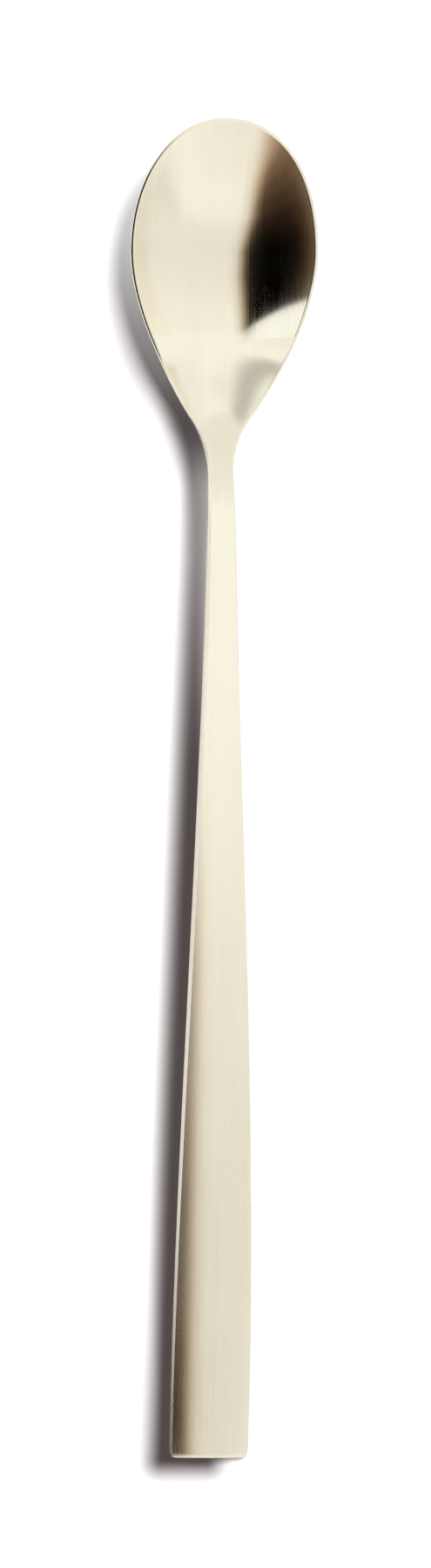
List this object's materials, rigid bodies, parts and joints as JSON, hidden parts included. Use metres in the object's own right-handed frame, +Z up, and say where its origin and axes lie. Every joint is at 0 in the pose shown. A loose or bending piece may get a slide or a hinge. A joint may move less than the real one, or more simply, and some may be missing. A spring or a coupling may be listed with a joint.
{
  "type": "iced tea spoon",
  "caption": "Long slim spoon with an egg-shaped bowl, a narrow neck and an arched handle that widens to a square end, for stirring and eating from tall glasses.",
  "frame": {"origin": "centre of the spoon's outline on the surface that it lies on", "axes": "+Y along the spoon from the handle's end to the bowl's tip, +Z up out of the bowl, +X to the right seen from above with the bowl at the top"},
  "size_m": [0.0284, 0.2, 0.0102],
  "materials": {
    "champagne_steel": "fine brushed champagne-gold coating over stainless steel, brushed along the spoon's length"
  },
  "bodies": {
    "root": {"bowl": "champagne_steel", "handle": "champagne_steel"}
  },
  "joints": []
}
